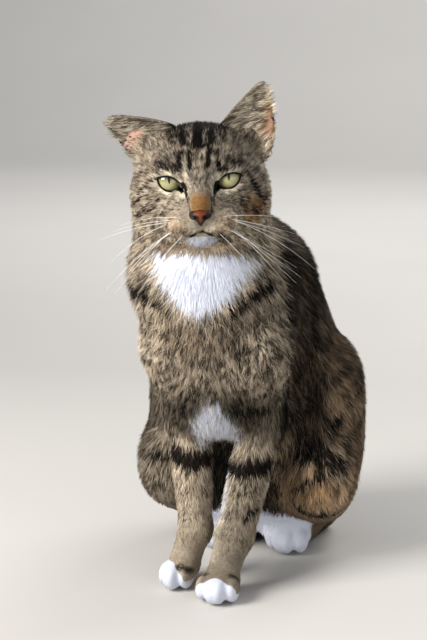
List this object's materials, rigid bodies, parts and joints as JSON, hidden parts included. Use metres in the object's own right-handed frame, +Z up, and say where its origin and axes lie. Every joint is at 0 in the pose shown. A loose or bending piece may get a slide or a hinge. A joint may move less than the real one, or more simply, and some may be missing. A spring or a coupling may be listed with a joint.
{
  "type": "cat",
  "caption": "Short-haired tabby-and-white cat at life size, sitting upright with its forelegs together, head turned slightly and tail laid out behind.",
  "frame": {"origin": "on the floor under the middle of the cat's bounding box, the tail included", "axes": "+Z up, +Y from the chest towards the tail, so the cat faces -Y; +X towards the cat's own left side"},
  "size_m": [0.185, 0.3906, 0.3547],
  "materials": {
    "tabby_coat": "short dense fur, brown-grey agouti with dark stripes",
    "white_coat": "short dense white fur",
    "ear_skin": "thin skin under short hair, pink inside",
    "eye": "wet, clear and glossy over a yellow-green iris",
    "nose_leather": "matt, finely pebbled brick red"
  },
  "bodies": {
    "root": {"head": "tabby_coat", "neck": "tabby_coat", "trunk": "tabby_coat", "tail": "tabby_coat", "foreleg_left": "tabby_coat", "foreleg_right": "tabby_coat", "hindleg_left": "tabby_coat", "hindleg_right": "tabby_coat", "forepaw_left": "white_coat", "forepaw_right": "white_coat", "hindpaw_left": "white_coat", "hindpaw_right": "white_coat", "ear_left": "ear_skin", "ear_right": "ear_skin", "eye_left": "eye", "eye_right": "eye", "nose": "nose_leather"}
  },
  "joints": []
}
